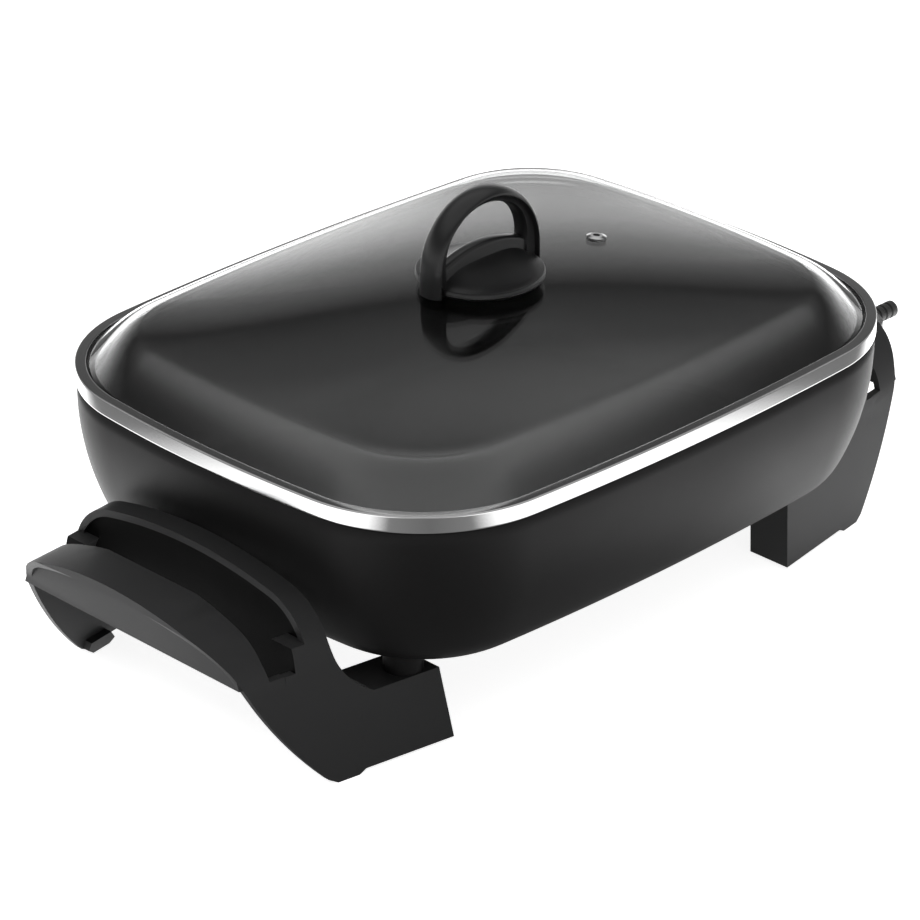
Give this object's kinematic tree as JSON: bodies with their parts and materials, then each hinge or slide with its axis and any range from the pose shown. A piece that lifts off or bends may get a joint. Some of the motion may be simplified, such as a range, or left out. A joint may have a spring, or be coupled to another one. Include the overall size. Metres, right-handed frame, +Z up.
{
  "type": "electric skillet",
  "caption": "Rectangular electric frying pan on two legged handles, with a lift-off domed glass lid and a plug-in temperature control.",
  "frame": {"origin": "point on the table under the centre of the pan", "axes": "+X along the pan towards the control, +Y towards the back, +Z up"},
  "size_m": [0.611, 0.318, 0.236],
  "materials": {
    "coated_casting": "matte dark non-stick coating over cast aluminium",
    "handle_moulding": "satin black heat-proof moulding",
    "knob_moulding": "satin black heat-proof moulding",
    "tinted_glass": "clear tempered glass",
    "polished_band": "polished stainless steel",
    "silicone": "dark silicone",
    "zinc_steel": "zinc plated",
    "element_sheath": "dull heat-tinted steel",
    "plated_pins": "nickel plated",
    "guard_steel": "pressed steel",
    "ceramic": "off-white ceramic",
    "control_moulding": "satin black moulding",
    "dial_moulding": "satin black moulding with white scale",
    "brass_contacts": "bare brass",
    "lamp_glass": "small neon lamp",
    "amber_lens": "translucent amber",
    "gland_rubber": "soft black"
  },
  "bodies": {
    "base": {"pan": "coated_casting", "heating_element": "element_sheath", "terminal_pins": "plated_pins", "pin_insulators": "ceramic", "terminal_guard": "guard_steel", "handle_left": "handle_moulding", "handle_right": "handle_moulding", "handle_screws": "zinc_steel", "handle_washers": "zinc_steel"},
    "lid": {"lid_glass": "tinted_glass", "lid_band": "polished_band", "lid_seal": "silicone", "vent_grommet": "polished_band", "lid_knob": "knob_moulding", "knob_seal": "silicone", "knob_washer": "zinc_steel", "knob_screw": "zinc_steel"},
    "control": {"control_housing_top": "control_moulding", "control_housing_bottom": "control_moulding", "housing_screws": "zinc_steel", "probe_stem": "element_sheath", "socket_contacts": "brass_contacts", "terminal_block": "ceramic", "bimetal_strip": "brass_contacts", "contact_arm": "brass_contacts", "pilot_lamp": "lamp_glass", "lamp_lens": "amber_lens", "cord_gland": "gland_rubber"},
    "dial": {"temperature_dial": "dial_moulding", "dial_shaft": "zinc_steel"}
  },
  "joints": [
    {"name": "lid_lift", "type": "slide", "parent": "base", "child": "lid", "axis": [0, 0, 1], "range_m": [0, 0.25]},
    {"name": "probe_unplug", "type": "slide", "parent": "base", "child": "control", "axis": [1, 0, 0], "range_m": [0, 0.12]},
    {"name": "dial_turn", "type": "hinge", "parent": "control", "child": "dial", "pos_m": [0.284, 0, 0.065], "axis": [0, 0, 1], "range_deg": [0, 290]}
  ]
}
